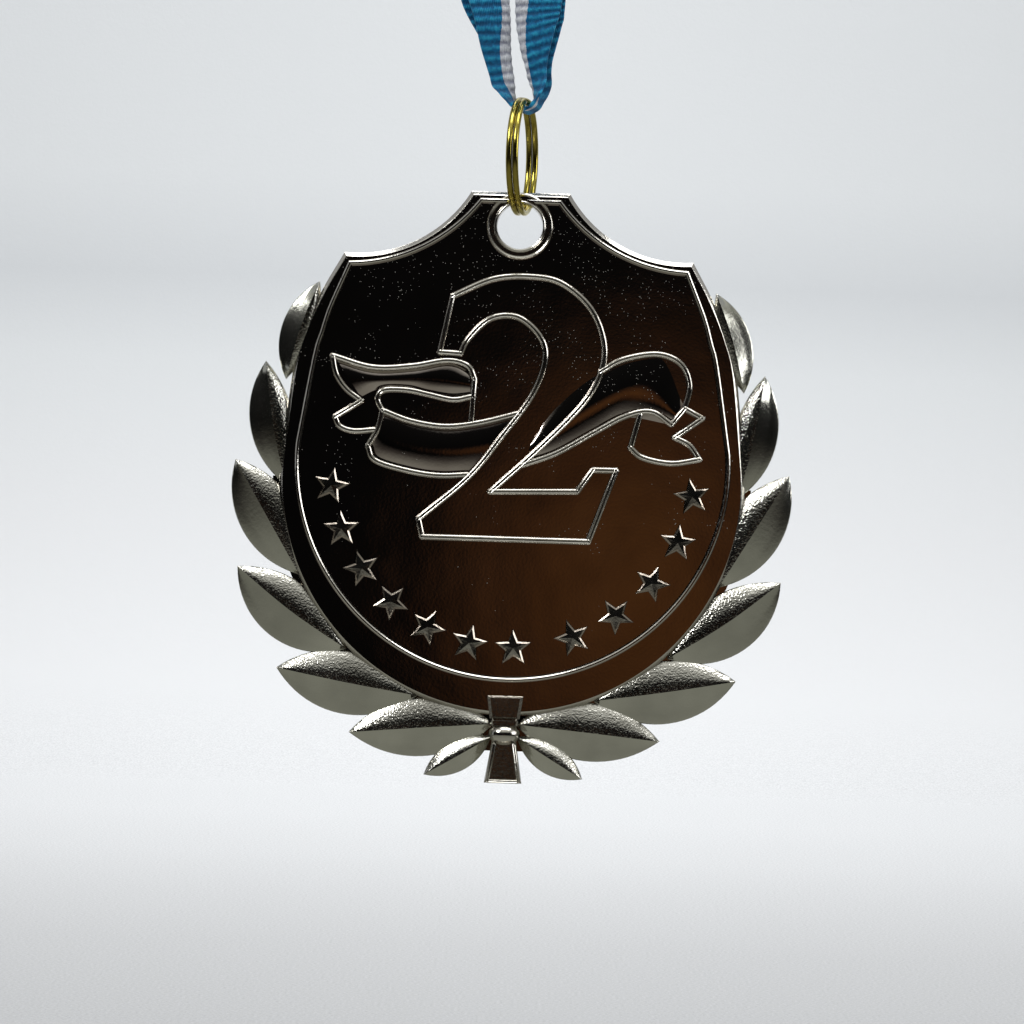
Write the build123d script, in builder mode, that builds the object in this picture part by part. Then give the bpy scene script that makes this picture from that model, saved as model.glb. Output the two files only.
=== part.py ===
"""A hanging award medal: a cast shield with a laurel wreath, a split ring and a neck ribbon.

The frame has +Z up and the medal's face towards -Y. The origin is where a hook carries the ribbon,
so everything hangs below it. All lengths are in millimetres.
"""
import os
from math import asin, cos, degrees, exp, hypot, pi, radians, sin

from build123d import *

os.makedirs("parts", exist_ok=True)

# ---- driving dimensions -------------------------------------------------------------------------
# Cast medal. Its own sketch plane has its origin at the middle of the hanging hole, X across and Y up.
HOLE_R = 2.65
BOSS_R = 3.9
BACK_Z = -1.3  # flat back of the casting
FIELD_Z = 0.7  # sunk field of the shield
BAND_Z = 1.2  # flat border band
RIDGE_Z = 1.6  # top of the raised lines
RIDGE_WIDTH = 0.75
RIM_RIDGE_WIDTH = 0.5
SHIELD_TOP = 3.95
SHIELD_TOP_HALF = 5.75
SHOULDER = (20.4, -3.65)
OUTER_BOWL = (-30.0, 27.2)  # lower half of the outline: height of the arc's centre, and its radius
INNER_BOWL = (-27.8, 25.2)  # the same for the raised inner line

# Laurel leaves on one side, from the top: base, tip, bulge outwards and bulge inwards.
LEAVES = [
    ((26.8, -18.7), (23.2, -7.1), 2.6, 1.5),
    ((26.5, -31.0), (29.2, -16.6), 3.1, 2.2),
    ((24.5, -41.5), (32.4, -28.2), 3.4, 3.4),
    ((18.8, -50.0), (31.8, -40.7), 4.2, 3.0),
    ((10.3, -55.2), (26.9, -52.4), 3.9, 3.6),
    ((1.2, -58.2), (18.2, -59.7), 3.4, 3.6),
    ((1.5, -59.7), (9.3, -64.4), 1.9, 1.8),
]
LEAF_EDGE_Z = 0.3
LEAF_TOP_Z = 1.5
LEAF_CHAMFER = 1.1

# Low web that fills in between the roots of the lower leaves, and beside the stem's knot.
WEB_R = 28.0
WEB_FOOT = (5.6, 4.2)
WEB_Z = 0.0

STEM_TOP = -54.9
STEM_KNOT = -59.4
STEM_FOOT = -65.1
STEM_HALF = 2.2
STEM_WAIST = 1.4
STEM_Z = 1.9
KNOT_RADII = (1.85, 1.3)
KNOT_Z = 2.3

STAR_CIRCLE = (-28.0, 21.3)  # height of the centre of the arc of stars, and its radius
STAR_R = 2.3
STAR_WAIST_R = 1.0
STAR_Z = 1.45
STAR_GROUPS = [(7, -82, 2), (5, 21, 82)]  # how many, first and last angle from straight down

# Split ring: round wire wound nearly twice, the two turns side by side.
WIRE_R = 0.36
TURN_PITCH = 0.74
RING_R = 6.57  # radius of the wire's middle
RING_YAW = 10.4  # the ring is turned this much about the vertical
END_GAP = 3  # degrees between a wire end and the crossing turn
CROSSING = 30  # degrees over which the wire crosses from one turn to the other
PIVOT_TO_RIM = 1.0  # from the wire bundle's middle to the top of the hole

# Neck ribbon: a flat woven loop that passes through the ring, the rest folded into a tied hank.
RIBBON_WIDTH = 12.0
RIBBON_THICK = 0.5
BEND_R = 1.05  # inside radius of the bend below the ring's wire
# Middle lines of the two tails, seen along the ribbon's edge: place along the ring's axis, and
# height above its wire. They close up over the ring and part again below the hank.
RIGHT_TAIL = [(1.3, 2.0), (0.1, 5.0), (-1.4, 10.0), (-0.8, 16.0), (1.0, 22.0)]
LEFT_TAIL = [(-1.3, 2.0), (-1.9, 5.0), (-2.05, 10.0), (-3.2, 16.0), (-5.0, 22.0)]
TAIL_OVERRUN = 4.0  # the tails are drawn this much too long, then cut where the hank begins
HANK_GAP = 22.0  # from the ring's wire to the lowest fold of the hank
HANK_HEIGHT = 115.0
HANK_HALF = 15.25
HANK_SHIFT = -2.0  # the hank's middle is beside the ring's, along the ring's axis
TOP_ARCH = 3.0  # the joined ends arch this far over the folds
FOLD_R = 2.5
PINCH = 0.8  # share of the hank's width taken up by the tie
PINCH_SPREAD = 8.0
TIE_HEIGHT = 4.0
TIE_THICK = 0.7
SEAM_HALF = 4.5  # from the middle of the seam to each row of stitches
STITCHES = 6  # in each row
STITCH_LENGTH = 1.4
STITCH_R = 0.25

# ---- places worked out from the dimensions -------------------------------------------------------
PIVOT_Y = HOLE_R - PIVOT_TO_RIM  # ring wire in the hole, above the hole's middle
RING_Y = PIVOT_Y + RING_R
RING_TOP_Y = RING_Y + RING_R
HOLE_BELOW = RING_TOP_Y + HANK_GAP + HANK_HEIGHT + TOP_ARCH  # hole below the hook
MEDAL = Plane(origin=(0, 0, -HOLE_BELOW), x_dir=(1, 0, 0), z_dir=(0, -1, 0))
RING_Z = RING_Y - HOLE_BELOW
RING_TOP_Z = RING_TOP_Y - HOLE_BELOW
HANK_LOW_Z = RING_TOP_Z + HANK_GAP

# ---- raised lines: each stretch is a line (two points) or a smooth curve -------------------------
NUMERAL = [
    [(-7.6, -8.4), (-3.0, -6.3), (1.2, -5.85), (5.0, -6.5), (8.5, -9.3), (10.2, -13.2),
     (10.0, -16.7), (8.0, -20.5), (3.1, -25.8), (-2.5, -31.1)],
    [(-2.5, -31.1), (7.6, -30.8)],
    [(7.6, -30.8), (9.4, -28.2)],
    [(9.4, -28.2), (12.1, -28.2)],
    [(12.1, -28.2), (9.1, -36.6)],
    [(9.1, -36.6), (-10.3, -36.6)],
    [(-10.3, -36.6), (-10.8, -34.5)],
    [(-10.8, -34.5), (-5.1, -29.45), (-1.3, -24.5), (1.9, -19.9), (3.4, -15.8), (2.8, -12.9),
     (0.1, -10.65), (-3.1, -10.9), (-5.6, -13.3), (-6.5, -15.1)],
    [(-6.5, -15.1), (-8.9, -15.0)],
    [(-8.9, -15.0), (-7.6, -8.4)],
]
BANNER = [
    # left end, upper fold
    [(-21.4, -15.8), (-16.7, -17.0), (-12.0, -16.7), (-8.0, -15.95), (-5.6, -16.5), (-4.75, -18.0)],
    [(-4.75, -18.0), (-5.0, -23.0)],
    [(-21.4, -15.8), (-20.9, -17.9), (-19.7, -19.6), (-17.9, -20.95)],
    [(-17.9, -20.95), (-20.9, -22.9)],
    [(-20.9, -22.9), (-20.3, -24.0), (-18.7, -24.5), (-16.3, -24.3)],
    [(-5.1, -20.1), (-7.2, -20.5), (-10.0, -20.0), (-12.5, -19.55), (-15.3, -19.65), (-16.0, -20.7),
     (-15.4, -22.0)],
    # left end, front strip
    [(-15.4, -22.0), (-12.0, -23.15), (-8.0, -23.65), (-4.0, -23.1), (0.4, -21.9)],
    [(-15.4, -22.0), (-15.9, -24.2), (-17.0, -26.2)],
    [(-17.0, -26.2), (-16.0, -27.9), (-12.0, -29.0), (-8.5, -29.4), (-5.2, -29.2)],
    # right end
    [(9.9, -16.7), (12.5, -15.2), (16.5, -14.45), (19.3, -15.5), (20.4, -18.0), (19.9, -20.7)],
    [(1.1, -27.9), (5.0, -26.4), (9.0, -24.05), (13.0, -21.8), (16.0, -21.2), (18.4, -22.6)],
    [(18.4, -22.6), (19.9, -20.7)],
    [(19.9, -20.7), (22.0, -21.8)],
    [(22.0, -21.8), (18.8, -24.1)],
    [(18.8, -24.1), (20.6, -25.0), (21.8, -26.6)],
    [(21.8, -26.6), (18.5, -27.15), (15.2, -26.6), (13.7, -25.5)],
    [(13.7, -25.5), (14.7, -21.6)],
]


def shield_side(top, shoulder, arc_mid, side, bowl):
    """The right half of a shield outline, from its top edge down to the lowest point."""
    centre_y, radius = bowl
    foot = (radius * cos(radians(4)), centre_y + radius * sin(radians(4)))
    Line((0, top[1]), top)
    ThreePointArc(top, arc_mid, shoulder)
    Spline(shoulder, *side, foot)
    ThreePointArc(
        foot,
        (radius * sin(radians(45)), centre_y - radius * cos(radians(45))),
        (0, centre_y - radius),
    )


def outer_outline():
    shield_side((SHIELD_TOP_HALF, SHIELD_TOP), SHOULDER, (11.0, -1.4),
                [(22.8, -8.0), (24.7, -12.5), (25.9, -17.0)], OUTER_BOWL)


def inner_outline():
    shield_side((4.6, 2.9), (19.7, -4.9), (10.0, -2.0),
                [(21.8, -10.0), (23.5, -16.0)], INNER_BOWL)


def leaf_face(base, tip, bulge_out, bulge_in):
    """A pointed leaf from base to tip; bulge_out is on its lower, outer side."""
    length = hypot(tip[0] - base[0], tip[1] - base[1])
    along = ((tip[0] - base[0]) / length, (tip[1] - base[1]) / length)
    middle = ((base[0] + tip[0]) / 2, (base[1] + tip[1]) / 2)
    outer = (middle[0] + along[1] * bulge_out, middle[1] - along[0] * bulge_out)
    inner = (middle[0] - along[1] * bulge_in, middle[1] + along[0] * bulge_in)
    with BuildLine(mode=Mode.PRIVATE) as outline:
        ThreePointArc(base, outer, tip)
        ThreePointArc(tip, inner, base)
    make_face(outline.edges())


def ridge_lines(stretches, width):
    """Bands of one width along the stretches, with round joints."""
    for points in stretches:
        with BuildLine(mode=Mode.PRIVATE) as path:
            Line(*points) if len(points) == 2 else Spline(*points)
        trace(path.line, line_width=width)
        with Locations(points[0], points[-1]):
            Circle(width / 2)


def at(z):
    """The medal's sketch plane, raised to z above the casting's middle."""
    return MEDAL.offset(z)


def leaf_solid(base, tip, bulge_out, bulge_in):
    """One leaf of the wreath, its face chamfered down to the outline."""
    with BuildPart() as leaf:
        with BuildSketch(at(BACK_Z)):
            leaf_face(base, tip, bulge_out, bulge_in)
        extrude(amount=LEAF_TOP_Z - BACK_Z)
        chamfer(leaf.faces().sort_by(Axis.Y)[0].edges(), length=LEAF_CHAMFER,
                length2=LEAF_TOP_Z - LEAF_EDGE_Z)
    return leaf.part


leaf_solids = [leaf_solid(*leaf) for leaf in LEAVES]

# ---- medal: one casting --------------------------------------------------------------------------
with BuildPart() as medal:
    # shield plate up to its border band
    with BuildSketch(at(BACK_Z)):
        with BuildLine():
            outer_outline()
            mirror(about=Plane.YZ)
        make_face()
    extrude(amount=BAND_Z - BACK_Z)
    # sunk field inside the border
    with BuildSketch(at(FIELD_Z)):
        with BuildLine():
            inner_outline()
            mirror(about=Plane.YZ)
        make_face()
    extrude(amount=BAND_Z, mode=Mode.SUBTRACT)
    # laurel leaves, both sides
    for leaf in leaf_solids:
        add(leaf)
        add(mirror(leaf, about=Plane.YZ, mode=Mode.PRIVATE))
    # web between the roots of the leaves
    with BuildSketch(at(BACK_Z)):
        with BuildLine():
            web_arc = CenterArc((0, OUTER_BOWL[0]), WEB_R, 180, 180)
            Line(web_arc @ 1, web_arc @ 0)
        make_face()
        with Locations((0, STEM_KNOT)):
            Rectangle(*WEB_FOOT)
    extrude(amount=WEB_Z - BACK_Z)
    # stem of the wreath, narrow at the knot
    with BuildSketch(at(BACK_Z)):
        with BuildLine():
            Polyline(
                (-STEM_HALF, STEM_TOP), (STEM_HALF, STEM_TOP), (STEM_WAIST, STEM_KNOT),
                (STEM_HALF, STEM_FOOT), (-STEM_HALF, STEM_FOOT), (-STEM_WAIST, STEM_KNOT),
                close=True,
            )
        make_face()
    extrude(amount=STEM_Z - BACK_Z)
    with BuildSketch(at(BACK_Z)):
        with Locations((0, STEM_KNOT)):
            Ellipse(*KNOT_RADII)
    extrude(amount=KNOT_Z - BACK_Z)
    # raised inner line of the border
    with BuildSketch(at(FIELD_Z)):
        with BuildLine() as rim_line:
            inner_outline()
            mirror(about=Plane.YZ)
        trace(rim_line.line, line_width=RIM_RIDGE_WIDTH)
        for side in (-1, 1):
            with Locations((side * 4.6, 2.9), (side * 19.7, -4.9)):
                Circle(RIM_RIDGE_WIDTH / 2)
    extrude(amount=RIDGE_Z - FIELD_Z)
    # numeral and banner
    with BuildSketch(at(FIELD_Z - 0.1)):
        ridge_lines(NUMERAL, RIDGE_WIDTH)
    extrude(amount=RIDGE_Z - FIELD_Z + 0.1)
    with BuildSketch(at(FIELD_Z - 0.1)):
        ridge_lines(BANNER, RIDGE_WIDTH)
    extrude(amount=RIDGE_Z - FIELD_Z + 0.1)
    # arc of stars
    with BuildSketch(at(FIELD_Z - 0.1)):
        for count, first, last in STAR_GROUPS:
            for k in range(count):
                angle = radians(first + (last - first) * k / (count - 1))
                centre = (STAR_CIRCLE[1] * sin(angle), STAR_CIRCLE[0] - STAR_CIRCLE[1] * cos(angle))
                points = []
                for corner in range(10):
                    reach = STAR_R if corner % 2 == 0 else STAR_WAIST_R
                    turn = angle + pi / 2 + corner * pi / 5
                    points.append((centre[0] + reach * cos(turn), centre[1] + reach * sin(turn)))
                with BuildLine():
                    Polyline(*points, close=True)
                make_face()
    extrude(amount=STAR_Z - FIELD_Z + 0.1)
    # boss round the hanging hole, then the hole
    with BuildSketch(at(BACK_Z)):
        Circle(BOSS_R)
    extrude(amount=BAND_Z - BACK_Z)
    with BuildSketch(at(BACK_Z)):
        Circle(HOLE_R)
    extrude(amount=KNOT_Z - BACK_Z, mode=Mode.SUBTRACT)
medal.part.label = "medal"
export_step(medal.part, "parts/medal.step")

# ---- split ring ----------------------------------------------------------------------------------
# Plane of the ring: x_dir lies across the ribbon, y_dir is up, z_dir is the ring's own axis.
RING_PLANE = Plane(
    origin=(0, 0, RING_Z),
    x_dir=(sin(radians(RING_YAW)), cos(radians(RING_YAW)), 0),
    z_dir=(cos(radians(RING_YAW)), -sin(radians(RING_YAW)), 0),
)


def on_ring(angle, shift):
    """A point of the wire's middle; angle is from the ring's top, shift is along its axis."""
    a = radians(angle)
    return RING_PLANE.from_local_coords(Vector(RING_R * sin(a), RING_R * cos(a), shift))


START = CROSSING / 2 + END_GAP
STOP = 360 - CROSSING / 2
HALF_PITCH = TURN_PITCH / 2
with BuildPart() as split_ring:
    with BuildLine() as wire_path:
        first_turn = ThreePointArc(
            on_ring(START, -HALF_PITCH), on_ring((START + STOP) / 2, -HALF_PITCH),
            on_ring(STOP, -HALF_PITCH))
        second_turn = ThreePointArc(
            on_ring(CROSSING / 2, HALF_PITCH), on_ring(180 - END_GAP / 2, HALF_PITCH),
            on_ring(STOP - END_GAP, HALF_PITCH))
        Spline(first_turn @ 1, on_ring(360, 0), second_turn @ 0,
               tangents=(first_turn % 1, second_turn % 0))
    with BuildSketch(Plane(origin=first_turn @ 0, z_dir=first_turn % 0)):
        Circle(WIRE_R)
    sweep(path=wire_path.wire())
split_ring.part.label = "split_ring"
export_step(split_ring.part, "parts/split_ring.step")

# ---- ribbon: the free stretch through the ring, turned with it -----------------------------------
REACH = degrees(asin(RIBBON_WIDTH / 2 / RING_R))  # the ribbon follows the ring this far each way
BEND_OUT = BEND_R + RIBBON_THICK


def ribbon_plane(across, height, along=0):
    """A plane to draw the ribbon's edge in: x along the ring's axis, y up, extruding to the back."""
    return Plane(
        origin=RING_PLANE.from_local_coords(Vector(across, height, along)),
        x_dir=RING_PLANE.z_dir,
        z_dir=-RING_PLANE.x_dir,
    )


with BuildPart() as ribbon:
    # two tails, drawn from the height of the ring's middle to just inside the hank
    with BuildSketch(ribbon_plane(RIBBON_WIDTH / 2, RING_R)):
        for tail in (RIGHT_TAIL, LEFT_TAIL):
            foot = (tail[0][0], -RING_R)
            end = (tail[-1][0], tail[-1][1] + TAIL_OVERRUN)
            with BuildLine(mode=Mode.PRIVATE) as tail_line:
                Polyline(foot, *tail, end)
            trace(tail_line.line, line_width=RIBBON_THICK)
            with Locations(*tail):
                Circle(RIBBON_THICK / 2)
    extrude(amount=RIBBON_WIDTH)
    # they start where the ring's wire runs and end at the hank
    with BuildSketch(RING_PLANE.offset(-2 * BEND_OUT)):
        Circle(RING_R)
    extrude(amount=4 * BEND_OUT, mode=Mode.SUBTRACT)
    split(bisect_by=Plane.XY.offset(HANK_LOW_Z), keep=Keep.BOTTOM)
    # saddle under the wire, swept about the ring's axis
    for way in (-1, 1):
        with BuildSketch(ribbon_plane(0, RING_R)):
            with BuildLine():
                CenterArc((0, 0), BEND_OUT, 180, 180)
                Line((BEND_OUT, 0), (BEND_R, 0))
                CenterArc((0, 0), BEND_R, 180, 180)
                Line((-BEND_R, 0), (-BEND_OUT, 0))
            make_face()
        revolve(axis=Axis(RING_PLANE.origin, RING_PLANE.z_dir * way), revolution_arc=REACH)
ribbon.part.label = "ribbon"
export_step(ribbon.part, "parts/ribbon.step")

# ---- hank: the rest of the ribbon, folded and pinched by its tie ---------------------------------
LOBE = HANK_HEIGHT / 2 - (HANK_HALF - TOP_ARCH)  # where the round top starts, above the middle
HANK_MID = RING_R + HANK_GAP + HANK_HEIGHT / 2  # above the ring's middle


def hank_side(side):
    """Points down one side of the hank, drawn in by the tie at its middle."""
    heights = (LOBE, 24, 12, 6, 0, -6, -12, -24, -LOBE)
    return [(side * HANK_HALF * (1 - PINCH * exp(-(h / PINCH_SPREAD) ** 2)), h) for h in heights]


with BuildPart() as ribbon_hank:
    with BuildSketch(ribbon_plane(RIBBON_WIDTH / 2, HANK_MID, HANK_SHIFT)):
        with BuildLine():
            left = Spline(*hank_side(-1), tangents=((0, -1), (0, -1)))
            right = Spline(*hank_side(1), tangents=((0, -1), (0, -1)))
            ThreePointArc(left @ 0, (0, LOBE + HANK_HALF), right @ 0)
            Polyline(left @ 1, (-HANK_HALF, -HANK_HEIGHT / 2), (HANK_HALF, -HANK_HEIGHT / 2),
                     right @ 1)
        make_face()
    extrude(amount=RIBBON_WIDTH)
    low_edges = ribbon_hank.edges().group_by(Axis.Z)[0]
    fillet(low_edges.filter_by(lambda e: e.length < HANK_HALF), radius=FOLD_R)
ribbon_hank.part.label = "ribbon_hank"
export_step(ribbon_hank.part, "parts/ribbon_hank.step")

TIE_HALF = HANK_HALF * (1 - PINCH) + TIE_THICK
with BuildPart() as hank_tie:
    with BuildSketch(ribbon_plane(RIBBON_WIDTH / 2 + TIE_THICK, HANK_MID, HANK_SHIFT)):
        RectangleRounded(2 * TIE_HALF, TIE_HEIGHT, TIE_THICK / 2)
    extrude(amount=RIBBON_WIDTH + 2 * TIE_THICK)
    add(ribbon_hank.part, mode=Mode.SUBTRACT)
hank_tie.part.label = "hank_tie"
export_step(hank_tie.part, "parts/hank_tie.step")

# ---- seam: two rows of stitches where the ribbon's ends overlap ----------------------------------
with BuildPart() as seam_thread:
    for k in range(STITCHES):
        across = (k - (STITCHES - 1) / 2) * RIBBON_WIDTH / STITCHES + STITCH_LENGTH / 2
        for row in (-1, 1):
            lean = row * SEAM_HALF / HANK_HALF
            with BuildSketch(ribbon_plane(across, HANK_MID + LOBE, HANK_SHIFT)):
                with Locations((HANK_HALF * sin(lean), HANK_HALF * cos(lean))):
                    Circle(STITCH_R)
            extrude(amount=STITCH_LENGTH)
    add(ribbon_hank.part, mode=Mode.SUBTRACT)
seam_thread.part.label = "seam_thread"
export_step(seam_thread.part, "parts/seam_thread.step")
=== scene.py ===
"""Looks for the award medal: nickel casting whose dark look is a painted reflection of a glowing hood, gilt
split ring and a striped woven ribbon.
"""
import math

import bmesh
import bpy
import numpy as np
from mathutils import Matrix, Vector


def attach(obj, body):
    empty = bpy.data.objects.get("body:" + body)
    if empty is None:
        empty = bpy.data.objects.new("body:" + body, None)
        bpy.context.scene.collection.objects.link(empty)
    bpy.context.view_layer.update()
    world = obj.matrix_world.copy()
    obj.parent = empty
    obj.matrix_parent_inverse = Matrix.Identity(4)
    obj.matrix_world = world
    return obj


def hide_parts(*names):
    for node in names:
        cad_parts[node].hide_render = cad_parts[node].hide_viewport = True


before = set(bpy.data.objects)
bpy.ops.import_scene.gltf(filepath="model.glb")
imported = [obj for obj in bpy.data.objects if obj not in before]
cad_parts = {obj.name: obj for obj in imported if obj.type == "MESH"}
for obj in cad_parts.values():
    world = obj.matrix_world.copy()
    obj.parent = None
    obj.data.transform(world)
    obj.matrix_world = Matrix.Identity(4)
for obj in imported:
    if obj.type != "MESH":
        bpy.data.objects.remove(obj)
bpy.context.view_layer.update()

# ---- places, in millimetres, as in the CAD source ------------------------------------------------
HOLE_BELOW = 154.79
RING_R = 6.57
RING_YAW = math.radians(10.4)
RING_TOP = -140.0  # top of the ring wire's middle line
RIBBON_WIDTH = 12.0
ALONG = Vector((math.cos(RING_YAW), -math.sin(RING_YAW), 0))
ACROSS = Vector((math.sin(RING_YAW), math.cos(RING_YAW), 0))

# The weave. Its ribs stay inside the ribbon of the CAD source, which is 0.5 thick.
RIBBON_THICK = 0.45
RIB_DEPTH = 0.18
RIB_PITCH = 1.12  # from one cross rib to the next
WARP_PITCH = 0.24
STRIPE_WIDTH = 4.0

# Heights in the medal, from the casting's middle towards the viewer.
BACK = -1.3
FIELD_Z = 0.7
BAND = 1.2
RIDGE = 1.6

# ---- camera --------------------------------------------------------------------------------------
CAMERA_DISTANCE = 0.45
PICTURE_WIDTH = 0.1199
PICTURE_MIDDLE = (0.00011, -0.18819)  # across and up
ROLL = math.radians(1.8)
camera = bpy.data.objects.new("camera", bpy.data.cameras.new("camera"))
bpy.context.collection.objects.link(camera)
camera.data.sensor_width = 36
camera.data.lens = camera.data.sensor_width * CAMERA_DISTANCE / PICTURE_WIDTH
camera.matrix_world = (
    Matrix.Translation((PICTURE_MIDDLE[0], -CAMERA_DISTANCE, PICTURE_MIDDLE[1]))
    @ Matrix.Rotation(math.radians(90), 4, "X")
    @ Matrix.Rotation(ROLL, 4, "Z")
)
bpy.context.scene.camera = camera
bpy.context.scene.view_settings.view_transform = "Standard"


# ---- materials -----------------------------------------------------------------------------------
class Nodes:
    """A material's node tree with short ways to add and join nodes."""

    def __init__(self, name):
        self.mat = bpy.data.materials.new(name)
        self.mat.use_nodes = True
        self.tree = self.mat.node_tree
        self.bsdf = self.tree.nodes["Principled BSDF"]
        self.output = self.tree.nodes["Material Output"]

    def add(self, kind, **settings):
        node = self.tree.nodes.new(kind)
        for key, value in settings.items():
            if hasattr(node, key):
                setattr(node, key, value)
            else:
                node.inputs[key.replace("_", " ")].default_value = value
        return node

    def join(self, source, target):
        self.tree.links.new(source, target)

    def noise(self, scale, detail=3.0, rough=0.5):
        node = self.add("ShaderNodeTexNoise", Scale=scale, Detail=detail, Roughness=rough)
        self.join(self.coords(), node.inputs["Vector"])
        return node.outputs["Fac"]

    def coords(self, output="Object"):
        return self.add("ShaderNodeTexCoord").outputs[output]

    def ramp(self, value, stops):
        node = self.add("ShaderNodeValToRGB")
        while len(node.color_ramp.elements) < len(stops):
            node.color_ramp.elements.new(0.5)
        for element, (place, colour) in zip(node.color_ramp.elements, stops):
            element.position = place
            element.color = (*colour, 1)
        self.join(value, node.inputs["Fac"])
        return node.outputs["Color"]

    def feed(self, socket, value):
        """Sets the socket to a number, or joins it to another node's output."""
        if isinstance(value, (int, float)):
            socket.default_value = value
        else:
            self.join(value, socket)

    def math(self, operation, a, b=0.0):
        node = self.add("ShaderNodeMath", operation=operation)
        self.feed(node.inputs[0], a)
        self.feed(node.inputs[1], b)
        return node.outputs[0]

    def mix(self, share, a, b, blend="MIX"):
        """Blends the second colour into the first by that share."""
        node = self.add("ShaderNodeMix", data_type="RGBA", blend_type=blend)
        self.feed(node.inputs[0], share)
        self.join(a, node.inputs[6])
        self.join(b, node.inputs[7])
        return node.outputs[2]

    def split(self, vector):
        node = self.add("ShaderNodeSeparateXYZ")
        self.join(vector, node.inputs[0])
        return node.outputs

    def bump(self, height, strength, distance, normal=None):
        node = self.add("ShaderNodeBump", Strength=strength, Distance=distance)
        self.join(height, node.inputs["Height"])
        if normal:
            self.join(normal, node.inputs["Normal"])
        return node.outputs["Normal"]


def grey(value):
    return (value, value, value)


def nickel(name, tint, rough, grain, grain_size, dust):
    """Plated metal: tint is dark and bright colour, rough a range, grain the strength of its pitting.

    Dust, unless it is 0, is a threshold: specks lie where a noise that grows with height is above it.
    """
    m = Nodes(name)
    m.bsdf.inputs["Metallic"].default_value = 1.0
    m.join(m.ramp(m.noise(160, 4), [(0.3, tint[0]), (0.7, tint[1])]), m.bsdf.inputs["Base Color"])
    smear = m.ramp(m.noise(70, 5, 0.6), [(0.3, grey(rough[0])), (0.75, grey(rough[1]))])
    m.join(smear, m.bsdf.inputs["Roughness"])
    wavy = m.bump(m.noise(110, 2), 0.35, 0.00012)
    m.join(m.bump(m.noise(grain_size, 2), grain, 0.00006, wavy), m.bsdf.inputs["Normal"])
    if dust:
        cells = m.add("ShaderNodeTexVoronoi", Scale=2600.0)
        m.join(m.coords(), cells.inputs["Vector"])
        speck = m.math("LESS_THAN", cells.outputs["Distance"], 0.13)
        upper = m.math("MULTIPLY", m.math("ADD", m.split(m.coords())[2], 0.19), 4.0)
        cluster = m.math("GREATER_THAN", m.math("ADD", m.noise(160, 5, 0.8), upper), dust)
        fluff = m.add("ShaderNodeBsdfDiffuse", Color=(0.22, 0.21, 0.19, 1))
        blend = m.add("ShaderNodeMixShader")
        m.join(m.math("MULTIPLY", speck, cluster), blend.inputs["Fac"])
        m.join(m.bsdf.outputs[0], blend.inputs[1])
        m.join(fluff.outputs[0], blend.inputs[2])
        m.join(blend.outputs[0], m.output.inputs["Surface"])
    return m.mat


def gilt():
    m = Nodes("gilt_wire")
    m.bsdf.inputs["Metallic"].default_value = 1.0
    tint = m.ramp(m.noise(350, 4), [(0.3, (0.25, 0.20, 0.03)), (0.7, (0.46, 0.39, 0.09))])
    m.join(tint, m.bsdf.inputs["Base Color"])
    m.join(m.ramp(m.noise(900, 3), [(0.3, grey(0.10)), (0.7, grey(0.24))]), m.bsdf.inputs["Roughness"])
    m.join(m.bump(m.noise(2500, 2), 0.1, 0.00002), m.bsdf.inputs["Normal"])
    return m.mat


def woven():
    """Blue ribbon with a white middle; the UV map runs across and along it in millimetres."""
    m = Nodes("ribbon_weave")
    across, along = m.split(m.coords("UV"))[:2]
    wander = m.math("MULTIPLY", m.math("SUBTRACT", m.noise(2500, 2), 0.5), 0.35)
    offset = m.math("ABSOLUTE", m.math("ADD", across, wander))
    stripe = m.math("LESS_THAN", offset, STRIPE_WIDTH / 2)
    warp = m.math("SINE", m.math("MULTIPLY", across, 2 * math.pi / WARP_PITCH))
    weft = m.math("COSINE", m.math("MULTIPLY", along, 2 * math.pi / RIB_PITCH))
    # Painted shade and highlight: the ribbon's colour darkens in the troughs between the cross ribs and
    # lightens on their crests, mixed with random tone.
    rib_shade_and_noise = m.math("ADD", m.math("MULTIPLY", weft, 0.25), m.noise(2200, 4))
    blue = m.ramp(rib_shade_and_noise, [(0.25, (0.0, 0.055, 0.14)), (0.55, (0.001, 0.13, 0.29)),
                          (0.85, (0.015, 0.28, 0.46))])
    white = m.ramp(rib_shade_and_noise, [(0.2, (0.22, 0.23, 0.28)), (0.75, (0.60, 0.62, 0.65))])
    m.join(m.mix(stripe, blue, white), m.bsdf.inputs["Base Color"])
    m.bsdf.inputs["Roughness"].default_value = 0.62
    m.bsdf.inputs["Specular IOR Level"].default_value = 0.2
    m.bsdf.inputs["Sheen Weight"].default_value = 0.08
    m.bsdf.inputs["Sheen Roughness"].default_value = 0.4
    threads = m.math("MULTIPLY", warp, m.math("ADD", weft, 1.4))
    ribs = m.bump(weft, 0.5, 0.0001)
    fine = m.bump(threads, 0.6, 0.00004, ribs)
    m.join(m.bump(m.noise(5000, 3), 0.4, 0.00005, fine), m.bsdf.inputs["Normal"])
    return m.mat


def cloth(name, dark, light, scale):
    m = Nodes(name)
    m.join(m.ramp(m.noise(scale, 4), [(0.3, dark), (0.7, light)]), m.bsdf.inputs["Base Color"])
    m.bsdf.inputs["Roughness"].default_value = 0.85
    wave = m.add("ShaderNodeTexWave", Scale=700.0, Distortion=1.5)
    m.join(m.coords(), wave.inputs["Vector"])
    m.join(m.bump(wave.outputs["Fac"], 0.6, 0.00008), m.bsdf.inputs["Normal"])
    return m.mat


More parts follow.
